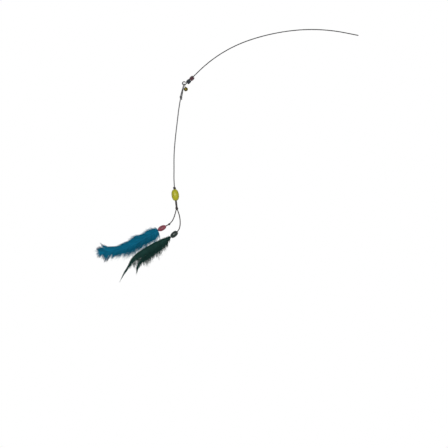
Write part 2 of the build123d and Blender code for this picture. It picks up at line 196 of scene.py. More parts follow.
# Barbs of one side of a feather: the dye, the stretch of shaft, the shares of the feather's barbs
# and of the barb radius, the shortest barb, how uneven the tufts are, the bow's middle as (forward,
# aside), barbs in a tuft, how tightly they are drawn, frizz in millimetres, the widening of the
# outline, and a vane (outline and reach) where it isn't the feather's own
BARB_STEPS = 6
Barbs = namedtuple(
    "Barbs",
    "name dye span share radius shortest uneven bow tuft pull frizz widen vane",
    defaults=(None,),
)
FAN = (
    "smoky", (88.0, 121.0), 0.28, 1.1, 0.76, 0.25, (0.6, 0.22), 56, 1.0, 1.2, 1.6,
    (FAN_OUTLINE, FAN_REACH),
)
PLUME_BARBS = [
    Barbs("upper_barbs", "blue", (0, 90), 0.8, 1.0, 0.6, 0.18, (0.3, 0.62), 22, 0.6, 1.6, 1.45),
    Barbs("lower_barbs", "blue", (0, 90), 1.0, 0.85, 0.45, 0.3, (0.35, 0.55), 24, 0.65, 1.8, 2.1),
    Barbs("upper_fan", *FAN),
    Barbs("lower_fan", *FAN),
    Barbs("upper_wisps", "smoky", (4, 100), 0.16, 0.7, 0.6, 0.4, (0.4, 0.5), 9, 0.8, 3.0, 1.65),
    Barbs("lower_wisps", "smoky", (8, 102), 0.45, 0.75, 0.6, 0.5, (0.6, 0.3), 14, 0.85, 3.0, 2.3),
]


def hackle_barbs(end):
    """Barbs of a hackle: a close upper edge, a lower edge in tufts, and wisps among them."""
    whole, part = (0, end), (5, end - 25)
    return [
        Barbs("upper_barbs", "green", whole, 1.0, 1.0, 0.8, 0.15, (0.4, 0.5), 10, 0.4, 0.8, 1.45),
        Barbs("lower_barbs", "green", whole, 1.0, 1.0, 0.5, 0.45, (0.46, 0.46), 60, 0.8, 2.2, 2.3),
        Barbs("lower_wisps", "green", part, 0.45, 0.75, 0.6, 0.5, (0.5, 0.45), 16, 0.85, 3.0, 2.1),
    ]


Feather = namedtuple(
    "Feather", "name dye body node slope bead shaft aside depth radii outline reaches web barbs"
)
PLUME_HOLD = ("blue", "blue_lure", "pink_tip_bead", PINK_SLOPE, PINK_BEAD)
HACKLE_HOLD = ("green", "green_lure", "green_tip_bead", GREEN_SLOPE, GREEN_BEAD)
FEATHERS = [
    Feather(
        "blue_plume", *PLUME_HOLD, PLUME_SHAFT, 0.0, 0.0, (0.9, 0.25),
        PLUME_OUTLINE, PLUME_REACH, (113.0, 0.72), PLUME_BARBS,
    ),
    Feather(
        "long_hackle", *HACKLE_HOLD, LONG_SHAFT, -0.62, -3.0, (0.55, 0.14),
        LONG_OUTLINE, LONG_REACH, (98.0, 0.5), hackle_barbs(127),
    ),
    Feather(
        "short_hackle", *HACKLE_HOLD, SHORT_SHAFT, 0.62, 3.0, (0.5, 0.25),
        SHORT_OUTLINE, SHORT_REACH, (84.0, 0.5), hackle_barbs(93),
    ),
]


def linear(red, green, blue):
    """Linear colour of an 8-bit display colour."""
    parts = [value / 255 for value in (red, green, blue)]
    return tuple(p / 12.92 if p <= 0.04045 else ((p + 0.055) / 1.055) ** 2.4 for p in parts)


def size_prop(name, description, default):
    """Length in metres that a user may change."""
    return FloatProperty(
        name=name, description=description, default=default, min=0.0, unit="LENGTH", precision=5
    )


def count_prop(name, description, default, lowest):
    """Whole number that a user may change."""
    return IntProperty(name=name, description=description, default=default, min=lowest)


def colour_prop(name, what, *display):
    """Colour that a user may change, from its 8-bit display values."""
    return FloatVectorProperty(
        name=name, description=f"Colour of the {what}", default=linear(*display),
        min=0.0, max=1.0, subtype="COLOR",
    )


class WandCordSettings(bpy.types.PropertyGroup):
    """Sizes and colours of the cords and knots."""

    diameter: size_prop("Cord diameter", "Diameter of every cord", 2.0 * MM)
    knot_strand: size_prop("Knot strand", "Diameter of the cord drawn tight in a knot", 1.9 * MM)
    knot_width: size_prop("Knot width", "Width of a tied knot", 5.7 * MM)
    grey: colour_prop("Main cord", "main cord and its loop", 96, 96, 98)
    brown: colour_prop("Neck cord", "neck and the branches", 64, 60, 59)


class WandBeadSettings(bpy.types.PropertyGroup):
    """Colours of the beads."""

    plum: colour_prop("Upper bead", "upper tri-lobed bead", 80, 54, 60)
    slate: colour_prop("Lower bead", "lower tri-lobed bead", 46, 52, 58)
    chartreuse: colour_prop("Gather bead", "oval bead on the neck", 164, 162, 26)
    rose: colour_prop("Rose bead", "plume's bead", 134, 64, 78)
    dark_green: colour_prop("Green bead", "hackles' bead", 16, 34, 30)


class WandMetalSettings(bpy.types.PropertyGroup):
    """Colours of the metal pieces."""

    wire: colour_prop("Wire", "blackened wire", 10, 10, 11)
    brass: colour_prop("Bell", "aged bell", 88, 78, 30)
    steel: colour_prop("Ring", "jump ring", 74, 72, 66)


class WandFeatherSettings(bpy.types.PropertyGroup):
    """Barbs and colours of the feathers."""

    barb_radius: size_prop("Barb radius", "Radius of a barb at its root", 0.16 * MM)
    plume_barbs: count_prop("Plume barbs", "Barbs on each side of the plume", 2000, 10)
    hackle_barbs: count_prop("Hackle barbs", "Barbs on each side of a hackle", 800, 10)
    seed: count_prop("Seed", "Seed of the barbs' random lengths", 7, 0)
    blue: colour_prop("Plume", "blue plume", 0, 110, 144)
    teal: colour_prop("Plume edge", "plume's thin edges", 26, 110, 128)
    pale: colour_prop("Plume ends", "plume's barb ends", 48, 98, 108)
    smoke: colour_prop("Wisps", "plume's fan and wisps", 36, 72, 88)
    soot: colour_prop("Wisp ends", "ends of fan and wisps", 30, 38, 46)
    green: colour_prop("Hackles", "green hackles", 17, 54, 49)
    moss: colour_prop("Hackle edge", "hackles' thin edges", 28, 64, 56)
    dusk: colour_prop("Hackle ends", "hackles' barb ends", 30, 40, 38)


def centre(node):
    """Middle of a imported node's box."""
    low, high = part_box(node)
    return (low + high) / 2


def leaning(angle):
    """Unit vector that points down, leaning towards +X by an angle in degrees."""
    turn = math.radians(angle)
    return Vector((math.sin(turn), 0, -math.cos(turn)))


def sloping(angle):
    """Unit vector that points to -X, sloping down by an angle in degrees."""
    turn = math.radians(angle)
    return Vector((-math.cos(turn), 0, -math.sin(turn)))


def places(start, offsets):
    """Points at offsets in millimetres from a start in metres."""
    return [start + Vector(offset) * MM for offset in offsets]


def put(name, data):
    """New object in the scene."""
    thing = bpy.data.objects.new(name, data)
    bpy.context.scene.collection.objects.link(thing)
    return thing


def dress(piece, body, slot, *nodes):
    """Piece that rides on a body, standing for the nodes that it hides; its slot is not used."""
    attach(piece, body)
    if nodes:
        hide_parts(*nodes)
    return piece


def new_piece(mesh, material, body, slot, *nodes):
    """Piece of a finished mesh, under the mesh's name."""
    if not mesh.materials:
        mesh.materials.append(material)
    return dress(put(mesh.name, mesh), body, slot, *nodes)


def paint(node, material):
    """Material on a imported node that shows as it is."""
    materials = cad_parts[node].data.materials
    materials.clear()
    materials.append(material)


# Materials


class Pen:
    """Adds nodes to one node tree."""

    def __init__(self, tree):
        self.tree = tree

    def feed(self, value, socket):
        """Link an output to a socket, or fill it with a value."""
        if isinstance(value, bpy.types.NodeSocket):
            self.tree.links.new(value, socket)
        else:
            socket.default_value = value

    def add(self, kind, inputs=None, **values):
        """New node with its properties set and its inputs fed, by identifier."""
        node = self.tree.nodes.new(kind)
        for key, value in values.items():
            setattr(node, key, value)
        for key, value in (inputs or {}).items():
            self.feed(value, next(s for s in node.inputs if s.identifier == key))
        return node

    def out(self, kind, inputs=None, output=None, **values):
        """Named output of a new node, or the first that it uses."""
        outputs = self.add(kind, inputs, **values).outputs
        return outputs[output] if output else next(s for s in outputs if s.enabled)

    def math(self, operation, first, second=0.0):
        """Result of a sum on one or two values."""
        inputs = {"Value": first, "Value_001": second}
        return self.out("ShaderNodeMath", inputs, operation=operation)


class FinishPen(Pen):
    """Adds nodes to one new material."""

    def __init__(self, name):
        self.material = bpy.data.materials.new(name)
        self.material.use_nodes = True
        super().__init__(self.material.node_tree)
        self.shader = self.tree.nodes["Principled BSDF"]
        self.place = self.out("ShaderNodeTexCoord", None, "Object")

    def mapped(self, scale, rotation=(0, 0, 0)):
        """Object coordinates, scaled and turned."""
        inputs = {"Vector": self.place, "Scale": scale, "Rotation": rotation}
        return self.out("ShaderNodeMapping", inputs)

    def noise(self, scale, detail=4.0, roughness=0.55, vector=None):
        """Noise value on the object."""
        inputs = {"Scale": scale, "Detail": detail, "Roughness": roughness}
        inputs["Vector"] = vector or self.place
        return self.out("ShaderNodeTexNoise", inputs, "Fac")

    def wave(self, scale, distortion, vector):
        """Bands along a direction."""
        inputs = {"Vector": vector, "Scale": scale, "Distortion": distortion, "Detail": 2.0}
        return self.out("ShaderNodeTexWave", inputs, "Fac")

    def stored(self, name):
        """Value stored on the mesh under a name."""
        return self.out("ShaderNodeAttribute", None, "Fac", attribute_name=name)

    def ramp(self, value, *stops):
        """Colour ramp over a value, with stops of (position, colour)."""
        node = self.add("ShaderNodeValToRGB", {"Fac": value})
        elements = node.color_ramp.elements
        while len(elements) < len(stops):
            elements.new(0.5)
        for element, (position, colour) in zip(elements, stops):
            element.position = position
            element.color = (*colour, 1)
        return node.outputs["Color"]

    def shades(self, value, colour, *stops):
        """Ramp over a value through shades of one colour, with stops of (position, factor)."""
        return self.ramp(value, *((position, shade(colour, part)) for position, part in stops))

    def mix(self, factor, first, second):
        """Mix of a colour and a second one by a value."""
        if not isinstance(second, bpy.types.NodeSocket):
            second = (*second, 1)
        inputs = {"Factor_Float": factor, "A_Color": first, "B_Color": second}
        return self.out("ShaderNodeMix", inputs, data_type="RGBA")

    def span(self, value, low, high):
        """Value from 0 to 1 carried to a range."""
        inputs = {"Value": value, "To Min": low, "To Max": high}
        return self.out("ShaderNodeMapRange", inputs)

    def bump(self, height, strength, distance):
        """Bump from a height, in metres of depth."""
        inputs = {"Height": height, "Strength": strength, "Distance": distance}
        self.feed(self.out("ShaderNodeBump", inputs), self.shader.inputs["Normal"])

    def done(self, colour, roughness, **values):
        """Finished material, with its colour, its roughness and other sockets of its shader fed."""
        values.update(Base_Color=colour, Roughness=roughness)
        for key, value in values.items():
            self.feed(value, self.shader.inputs[key.replace("_", " ")])
        return self.material


def shade(colour, factor):
    """Colour made darker or lighter."""
    return tuple(min(1.0, part * factor) for part in colour)


def blackened_steel(name, colour):
    """Dark oxide finish with rubbed streaks."""
    pen = FinishPen(name)
    streaks = pen.noise(90.0, 6.0, 0.6, pen.mapped((1.0, 1.0, 6.0)))
    blotches = pen.noise(900.0, 3.0)
    tone = pen.shades(streaks, colour, (0.3, 0.6), (0.55, 1.0), (0.8, 1.9))
    pen.bump(blotches, 0.2, 0.00003)
    return pen.done(tone, pen.span(blotches, 0.32, 0.55), Specular_IOR_Level=0.08)


def bright_metal(name, colour, tarnish, rough):
    """Worn metal with tarnish in blotches and fine scratches."""
    pen = FinishPen(name)
    blotches = pen.noise(420.0, 5.0, 0.6)
    scratches = pen.noise(1500.0, 2.0, 0.5, pen.mapped((1.0, 1.0, 0.15), (0.4, 0.7, 0.0)))
    tone = pen.shades(blotches, colour, (0.32, tarnish), (0.5, 1.0), (0.75, 1.25))
    pen.bump(scratches, 0.15, 0.00003)
    return pen.done(tone, pen.span(scratches, rough, rough + 0.22), Metallic=1.0)


def moulded_plastic(name, colour, deep, gloss):
    """Glossy tinted plastic with swirls of deeper dye and slight moulding waves."""
    pen = FinishPen(name)
    swirl = pen.noise(170.0, 5.0, 0.6, pen.mapped((1.0, 1.0, 2.2), (0.3, 0.5, 0.0)))
    ripple = pen.noise(330.0, 2.0)
    tone = pen.shades(swirl, colour, (0.28, deep), (0.5, 1.0), (0.78, 1.3))
    pen.bump(ripple, 0.06, 0.00012)
    return pen.done(tone, pen.span(ripple, 0.16, 0.26), Specular_IOR_Level=gloss)


def dyed_wood(name, colour, axis_turn):
    """Satin dyed wood with grain lines along the bead."""
    pen = FinishPen(name)
    along = pen.mapped((1.0, 1.0, 0.12), (0.0, axis_turn, 0.0))
    grain = pen.noise(900.0, 6.0, 0.65, along)
    pores = pen.noise(2600.0, 2.0, 0.5, along)
    clouds = pen.noise(120.0, 3.0)
    tone = pen.shades(grain, colour, (0.25, 0.8), (0.5, 1.0), (0.8, 1.08))
    tone = pen.mix(pen.span(clouds, 0.0, 0.4), tone, shade(colour, 0.8))
    pen.bump(pores, 0.25, 0.00008)
    return pen.done(tone, pen.span(grain, 0.24, 0.4), Specular_IOR_Level=0.3)


def waxed_cord(name, colour):
    """Waxed twisted cord: slanted plies, fibres and darker stretches."""
    pen = FinishPen(name)
    plies = pen.wave(340.0, 1.2, pen.mapped((1.0, 1.0, 1.0), (0.0, math.radians(52), 0.0)))
    slant = pen.mapped((1.0, 1.0, 0.35), (0.0, math.radians(38), 0.0))
    fibres = pen.noise(5200.0, 3.0, 0.7, slant)
    stretches = pen.noise(26.0, 2.0)
    tone = pen.shades(plies, colour, (0.1, 0.72), (0.55, 1.0), (0.9, 1.2))
    worn = pen.mix(pen.span(stretches, -0.1, 0.5), tone, shade(colour, 0.7))
    tone = pen.mix(pen.span(fibres, 0.0, 0.45), worn, shade(colour, 1.25))
    pen.bump(plies, 0.6, 0.00018)
    return pen.done(tone, pen.span(fibres, 0.55, 0.85), Specular_IOR_Level=0.2)


def dyed_barbs(name, colour, edge, tip):
    """Feather dye that varies by barb and tuft, and changes towards the barbs' ends."""
    pen = FinishPen(name)
    along = pen.stored("along")
    clouds = pen.noise(60.0, 3.0)
    bands = pen.noise(700.0, 3.0, 0.6)
    island = pen.out("ShaderNodeNewGeometry", None, "Random Per Island")
    barb = pen.shades(island, colour, (0.0, 0.6), (0.5, 1.0), (1.0, 1.35))
    tuft = pen.shades(pen.stored("tone"), colour, (0.0, 0.55), (0.5, 1.0), (1.0, 1.45))
    cloudy = pen.mix(pen.span(clouds, -0.3, 0.7), pen.mix(0.55, barb, tuft), shade(colour, 0.7))
    ends = pen.shades(along, WHITE[:3], (0.0, 0.0), (0.6, 0.12), (0.85, 0.6), (1.0, 1.0))
    far_ends = pen.shades(along, WHITE[:3], (0.0, 0.0), (0.75, 0.0), (1.0, 0.8))
    tone = pen.mix(far_ends, pen.mix(ends, cloudy, edge), tip)
    return pen.done(tone, pen.span(bands, 0.5, 0.75), Specular_IOR_Level=0.12)


def dyed_web(name, colour, edge, slope):
    """Feather web between the barbs, lined along them."""
    pen = FinishPen(name)
    slant = pen.mapped((0.05, 1.0, 1.0), (0.0, math.radians(slope), 0.0))
    lines = pen.noise(2600.0, 3.0, 0.6, slant)
    clouds = pen.noise(80.0, 3.0)
    tone = pen.ramp(lines, (0.3, shade(colour, 0.45)), (0.52, colour), (0.75, edge))
    tone = pen.mix(pen.span(clouds, -0.2, 0.7), tone, shade(colour, 0.7))
    pen.bump(lines, 0.7, 0.0002)
    return pen.done(tone, pen.span(lines, 0.55, 0.8), Specular_IOR_Level=0.1)


def feather_quill(name, colour):
    """Satin horn of a feather's shaft, lined along it."""
    pen = FinishPen(name)
    lines = pen.noise(1400.0, 3.0, 0.6, pen.mapped((0.1, 1.0, 0.3)))
    tone = pen.shades(lines, colour, (0.3, 0.6), (0.55, 1.0), (0.8, 1.6))
    pen.bump(lines, 0.2, 0.00005)
    return pen.done(tone, pen.span(lines, 0.45, 0.6), Specular_IOR_Level=0.06)


def clear_glue(name):
    """Dried glue, cloudy with bubbles."""
    pen = FinishPen(name)
    bubbles = pen.noise(1800.0, 3.0)
    tone = pen.ramp(
        bubbles, (0.35, (0.5, 0.42, 0.26)), (0.6, (0.72, 0.66, 0.5)), (0.8, (0.85, 0.8, 0.68))
    )
    pen.bump(bubbles, 0.3, 0.00005)
    return pen.done(tone, pen.span(bubbles, 0.25, 0.5))


# Mesh makers


def plain_mesh(name, made):
    """Smooth-shaded mesh of a finished bmesh."""
    mesh = bpy.data.meshes.new(name)
    made.to_mesh(mesh)
    made.free()
    return smooth(mesh)


def smooth(mesh):
    """Mesh with smooth shading on every face."""
    mesh.polygons.foreach_set("use_smooth", [True] * len(mesh.polygons))
    mesh.update()
    return mesh


def ring_mesh(name, rings, closed_tube=False):
    """Mesh of rings of points joined one to the next, ending in caps or meeting again."""
    made = bmesh.new()
    rows = [[made.verts.new(point) for point in ring] for ring in rings]
    pairs = list(zip(rows, rows[1:]))
    if closed_tube:
        pairs.append((rows[-1], rows[0]))
    for first, second in pairs:
        for here in range(len(first)):
            after = (here + 1) % len(first)
            made.faces.new((first[here], first[after], second[after], second[here]))
    if not closed_tube:
        made.faces.new(list(reversed(rows[0])))
        made.faces.new(rows[-1])
    bmesh.ops.recalc_face_normals(made, faces=made.faces)
    return plain_mesh(name, made)


def circle(sides):
    """Cosine and sine of even turns, once around."""
    turns = [2 * math.pi * step / sides for step in range(sides)]
    return [(math.cos(turn), math.sin(turn)) for turn in turns]


def smooth_path(points, steps):
    """Points along a smooth line through the given ones."""
    ends = [points[0] * 2 - points[1]] + list(points) + [points[-1] * 2 - points[-2]]
    path = []
    for before, start, end, after in zip(ends, ends[1:], ends[2:], ends[3:]):
        for step in range(steps):
            t = step / steps
            first = start * 2 + (end - before) * t
            second = (before * 2 - start * 5 + end * 4 - after) * t**2
            third = (start * 3 - before - end * 3 + after) * t**3
            path.append((first + second + third) / 2)
    path.append(points[-1])
    return path


def tube_mesh(name, path, radii, sides):
    """Round tube along a path, with a radius at each point."""
    rings = []
    side = ACROSS
    for here, point in enumerate(path):
        along = (path[min(here + 1, len(path) - 1)] - path[max(here - 1, 0)]).normalized()
        side = (side - along * side.dot(along)).normalized()
        other = along.cross(side)
        rings.append([point + (side * c + other * s) * radii[here] for c, s in circle(sides)])
    return ring_mesh(name, rings)


# Cords and knots


def cord_curve(name, points, diameter, material):
    """Round cord on one open spline with the route's points as its control points."""
    curve = bpy.data.curves.new(name, "CURVE")
    curve.dimensions = "3D"
    spline = curve.splines.new("NURBS")
    spline.points.add(len(points) - 1)
    for place, point in zip(spline.points, points):
        place.co = (*point, 1)
    spline.order_u = 3
    spline.use_endpoint_u = True
    spline.resolution_u = 10
    curve.bevel_depth = diameter / 2
    curve.bevel_resolution = 4
    curve.use_fill_caps = True
    curve.materials.append(material)
    return put(name, curve)


def knot_mesh(name, place, axis, width, strand):
    """Tight overhand knot: a trefoil of cord, squeezed along the cord."""
    side = ACROSS.cross(axis).normalized()
    other = axis.cross(side)
    reach = (width - strand) / 2 / 3
    path = []
    for step in range(KNOT_STEPS):
        turn = 2 * math.pi * step / KNOT_STEPS
        aside = math.sin(turn) + 2 * math.sin(2 * turn)
        beside = math.cos(turn) - 2 * math.cos(2 * turn)
        rise = -math.sin(3 * turn) * KNOT_RISE * strand
        path.append(place + (side * aside + other * beside) * reach + axis * rise)
    rings = []
    for here, point in enumerate(path):
        along = (path[(here + 1) % KNOT_STEPS] - path[here - 1]).normalized()
        first = along.cross(point - place).normalized()
        second = along.cross(first)
        spots = circle(KNOT_SIDES)
        rings.append([point + (first * c + second * s) * strand / 2 for c, s in spots])
    return ring_mesh(name, rings, True)


def tuck_mesh(name, runs, diameter):
    """Cord ends led on into their knots, from runs of (end, knot's centre)."""
    made = bmesh.new()
    for end, knot in runs:
        inside = (end - knot).normalized() * TUCK_OVERLAP
        path = [end + inside, end, (end + knot) / 2, knot]
        stub = tube_mesh("stub", path, [diameter * TUCK_SHARE] * len(path), TUCK_SIDES)
        made.from_mesh(stub)
        bpy.data.meshes.remove(stub)
    return plain_mesh(name, made)


def loop_points():
    """The loop's route, from its knot over the eye and back."""
    down = leaning(-LOOP_LEAN)
    aside = down.cross(ACROSS)
    hook = centre("hanger_knot") - down * LOOP_LENGTH * MM
    return [hook + (down * along + aside * off + ACROSS * y) * MM for along, off, y in LOOP_ROUTE]


def neck_points(sign):
    """One straight strand of the neck."""
    down = leaning(NECK_LEAN)
    aside = Matrix.Rotation(math.radians(NECK_TURN), 3, down) @ down.cross(ACROSS)
    middle = (centre("gather_knot") + centre("split_knot")) / 2
    middle = middle + aside * sign * NECK_STRAND_OFFSET * MM
    half = down * NECK_STRAND_LENGTH / 2 * MM
    return [middle - half, middle - half / 3, middle + half / 3, middle + half]


class WAND_OT_cords(bpy.types.Operator):
    """Cords with their knots, from the eye down to the tip beads"""

    bl_idname = "wand.cords"
    bl_label = "Cords and knots"

    def execute(self, context):
        cords = context.scene.wand_cords
        grey = waxed_cord("grey_waxed_cord", cords.grey), "grey_cord"
        brown = waxed_cord("brown_waxed_cord", cords.brown), "brown_cord"
        neck, stop = leaning(NECK_LEAN), sloping(PINK_SLOPE)
        knots = [
            ("hanger_knot_tied", "hanger_knot", leaning(-LOOP_LEAN), 1.0, grey, "hanger"),
            ("gather_knot_tied", "gather_knot", neck, 1.0, brown, "cord"),
            ("split_knot_tied", "split_knot", neck, 1.0, brown, "cord"),
            ("stop_knot_tied", "blue_stop_knot", stop, STOP_KNOT_SCALE, brown, "blue_branch"),
        ]
        tied = {}
        for name, node, axis, scale, (material, slot), body in knots:
            width, strand = cords.knot_width * scale, cords.knot_strand * scale
            mesh = knot_mesh(name, centre(node), axis, width, strand)
            tied[node] = new_piece(mesh, material, body, slot, node)

        hanger, gather, split = map(centre, ("hanger_knot", "gather_knot", "split_knot"))
        tail = cord_curve("hanger_tail_cut", places(hanger, TAIL_ROUTE), cords.diameter, grey[0])
        tied["hanger_tail"] = dress(tail, "hanger", "grey_cord", "hanger_tail")

        loop = loop_points()
        main = places(hanger, MAIN_ROUTE)
        left, right = neck_points(-1), neck_points(1)
        blue, green = places(split, BLUE_ROUTE), places(split, GREEN_ROUTE)
        neck_ends = [(left[0], gather), (right[0], gather), (left[-1], split), (right[-1], split)]
        tucks = [
            ("loop_tucks", [(loop[0], hanger), (loop[-1], hanger)], grey, "hanger"),
            ("long_cord_tucks", [(main[0], hanger), (main[-1], gather)], grey, "cord"),
            ("neck_tucks", neck_ends, brown, "cord"),
            ("blue_cord_tuck", [(blue[0], split)], brown, "blue_branch"),
            ("green_cord_tuck", [(green[0], split)], brown, "green_branch"),
        ]
        for name, ends, (material, slot), body in tucks:
            new_piece(tuck_mesh(name, ends, cords.diameter), material, body, slot)

        hung = ["hanger_knot", "hanger_tail"]
        stops = ["blue_stop_knot"]
        runs = [
            ("loop_cord", loop, grey, "hanger", "hanger_loop", "knot", hung),
            ("long_cord", main, grey, "cord", "main_cord", "knot", ["gather_knot"]),
            ("neck_cord_left", left, brown, "cord", "neck_cords", "knot", ["split_knot"]),
            ("neck_cord_right", right, brown, "cord", "neck_cords", "knot", []),
            ("blue_cord", blue, brown, "blue_branch", "blue_branch_cord", "object", stops),
            ("green_cord", green, brown, "green_branch", "green_branch_cord", "object", []),
        ]
        for name, points, (material, slot), body, node, far_end, held in runs:
            curve = cord_curve(name, points, cords.diameter, material)
            piece = dress(curve, body, slot, node)
            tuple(points[0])
            [tied[knot] for knot in held]
        return {"FINISHED"}


# Beads and metal


def bead_mesh(name, bead, place, axis):
    """Oval bead with a bore, turned about an axis."""
    radius, bore, half = (bead.width / 2 * MM, bead.bore / 2 * MM, bead.length / 2 * MM)
    profile = []
    for step in range(bead.steps + 1):
        turn = math.pi * step / bead.steps - math.pi / 2
        swell = bore + (radius - bore) * math.cos(turn) ** bead.power
        profile.append((swell, half * math.sin(turn)))
    profile += [(bore * BORE_SHARE, half * part) for part in BORE_STOPS]
    side = ACROSS.cross(axis).normalized()
    other = axis.cross(side)
    rings = []
    for c, s in circle(bead.sides):
        outward = side * c + other * s
        rings.append([place + outward * away + axis * height for away, height in profile])
    return ring_mesh(name, rings, True)


class WAND_OT_beads(bpy.types.Operator):
    """Beads on the wire and the neck, and the two tip beads with their glue"""

    bl_idname = "wand.beads"
    bl_label = "Beads"

    def execute(self, context):
        beads = context.scene.wand_beads
        for node, colour in (("tri_bead_upper", beads.plum), ("tri_bead_lower", beads.slate)):
            paint(node, moulded_plastic(f"{node}_plastic", colour, 0.45, 0.12))

        wood = dyed_wood("chartreuse_dyed_wood", beads.chartreuse, math.radians(NECK_LEAN))
        rose = moulded_plastic("rose_plastic", beads.rose, 0.35, 0.2)
        bottle = moulded_plastic("bottle_green_plastic", beads.dark_green, 0.4, 0.3)
        neck, pink, green = leaning(NECK_LEAN), sloping(PINK_SLOPE), sloping(GREEN_SLOPE)
        turned = [
            ("oval_bead", GATHER_BEAD, neck, wood, "slider", "chartreuse_wood", "gather_bead"),
            ("rose_bead", PINK_BEAD, pink, rose, "blue_lure", "rose_plastic", "pink_tip_bead"),
            (
                "green_bead", GREEN_BEAD, green, bottle,
                "green_lure", "dark_green_plastic", "green_tip_bead",
            ),
        ]
        for name, bead, axis, material, body, slot, node in turned:
            new_piece(bead_mesh(name, bead, centre(node), axis), material, body, slot, node)

        glue = clear_glue("dried_glue")
        for node in ("pink_glue_plug", "green_glue_plug"):
            paint(node, glue)
        return {"FINISHED"}


class WAND_OT_metal(bpy.types.Operator):
    """Finishes of the wire, the jump ring and the bell"""

    bl_idname = "wand.metal"
    bl_label = "Wire, ring and bell"

    def execute(self, context):
        metals = context.scene.wand_metals
        paint("spring_wire", blackened_steel("blackened_wire", metals.wire))
        paint("jump_ring", bright_metal("jump_ring_steel", metals.steel, 0.4, 0.22))
        paint("bell_pellet", bright_metal("pellet_steel", metals.steel, 0.6, 0.2))
        brass = bright_metal("aged_brass", metals.brass, 0.35, 0.24)
        for node in ("bell_upper_cup", "bell_lower_cup", "bell_shank"):
            paint(node, brass)
        return {"FINISHED"}


# Feathers


BARB_INPUTS = [
    ("Count", "Int"),
    ("Side", "Float"),
    ("Radius", "Float"),
    ("Shortest", "Float"),
    ("Uneven", "Float"),
    ("Bow Forward", "Float"),
    ("Bow Aside", "Float"),
    ("Tuft", "Int"),
    ("Tuft Pull", "Float"),
    ("Frizz", "Float"),
    ("Seed", "Int"),
    ("Material", "Material"),
]


class BarbPen(Pen):
    """Adds nodes to the geometry tree that grows barbs."""

    def __init__(self, name):
        super().__init__(bpy.data.node_groups.new(name, "GeometryNodeTree"))
        sockets = self.tree.interface
        kind = "NodeSocketGeometry"
        sockets.new_socket("Geometry", in_out="INPUT", socket_type=kind)
        self.keys = {}
        for label, number in BARB_INPUTS:
            socket = sockets.new_socket(label, in_out="INPUT", socket_type=f"NodeSocket{number}")
            self.keys[label] = socket.identifier
        sockets.new_socket("Geometry", in_out="OUTPUT", socket_type=kind)
        self.entry = self.add("NodeGroupInput").outputs
        self.exit = self.add("NodeGroupOutput").inputs

    def chance(self, low, high, draw, number=None):
        """Random value from low to high for each point or number, in a draw of its own."""
        seed = {"Value": self.entry["Seed"], "Value_001": draw}
        seed = self.out("FunctionNodeIntegerMath", seed, operation="ADD")
        inputs = {"Min_001": low, "Max_001": high, "Seed": seed}
        if number is not None:
            inputs["ID"] = number
        return self.out("FunctionNodeRandomValue", inputs, data_type="FLOAT")

    def named(self, name):
        """Value stored on the spine under a name."""
        return self.out("GeometryNodeInputNamedAttribute", {"Name": name}, data_type="FLOAT")

    def store(self, geometry, name, value):
        """Geometry with a value stored at its points under a name."""
        inputs = {"Geometry": geometry, "Name": name, "Value": value}
        return self.out("GeometryNodeStoreNamedAttribute", inputs, data_type="FLOAT")


def tuft_of(pen, number):
    """Number of a barb's tuft and of the barb that leads it, in tufts of uneven breadth."""
    size = pen.entry["Tuft"]
    first = pen.math("FLOOR", pen.math("SUBTRACT", pen.math("DIVIDE", number, size), 0.5))
    leaders = []
    gaps = []
    for cell in (first, pen.math("ADD", first, 1.0)):
        spot = pen.math("ADD", cell, pen.chance(0.1, 0.9, 0, cell))
        leaders.append(pen.math("FLOOR", pen.math("MULTIPLY", spot, size)))
        gaps.append(pen.math("ABSOLUTE", pen.math("SUBTRACT", number, leaders[-1])))
    second = pen.math("LESS_THAN", gaps[1], gaps[0])
    step = pen.math("MULTIPLY", pen.math("SUBTRACT", leaders[1], leaders[0]), second)
    leader = pen.math("MAXIMUM", pen.math("ADD", leaders[0], step), 0.0)
    last = pen.math("SUBTRACT", pen.entry["Count"], 1.0)
    return pen.math("ADD", first, second), pen.math("MINIMUM", leader, last)


def placed_barbs(pen):
    """Bowed barbs along the spine, as long as the width and reach stored on it."""
    curve = pen.out("GeometryNodeMeshToCurve", {"Mesh": pen.entry["Geometry"]})
    spine = pen.out("GeometryNodeResampleCurve", {"Curve": curve, "Count": pen.entry["Count"]})
    ahead = {"Vector": pen.out("GeometryNodeInputTangent")}
    facing = pen.out("FunctionNodeAlignRotationToVector", ahead, axis="X")
    upright = {"Rotation": facing, "Vector": ACROSS}
    rotation = pen.out("FunctionNodeAlignRotationToVector", upright, axis="Z", pivot_axis="X")

    tuft, _ = tuft_of(pen, pen.out("GeometryNodeInputIndex"))
    tuft_share = pen.chance(pen.math("SUBTRACT", 1.0, pen.entry["Uneven"]), 1.0, 0, tuft)
    barb_share = pen.chance(pen.entry["Shortest"], 1.0, 1)
    width = pen.math("MULTIPLY", pen.math("MULTIPLY", pen.named("width"), tuft_share), barb_share)
    scale = {
        "X": pen.math("MULTIPLY", pen.named("reach"), pen.chance(0.8, 1.15, 2)),
        "Y": pen.math("MULTIPLY", width, pen.entry["Side"]),
        "Z": pen.math("MULTIPLY", pen.named("fluff"), pen.chance(-1.0, 1.0, 3)),
    }
    bow = {"X": pen.entry["Bow Forward"], "Y": pen.entry["Bow Aside"], "Z": 1.1}
    middle = pen.out("ShaderNodeCombineXYZ", bow)
    line = {"Resolution": BARB_STEPS, "Start": (0, 0, 0), "Middle": middle, "End": (1, 1, 0.6)}
    spread = {
        "Points": spine,
        "Instance": pen.out("GeometryNodeCurveQuadraticBezier", line),
        "Rotation": rotation,
        "Scale": pen.out("ShaderNodeCombineXYZ", scale),
    }
    placed = pen.out("GeometryNodeInstanceOnPoints", spread)
    return pen.out("GeometryNodeRealizeInstances", {"Geometry": placed})


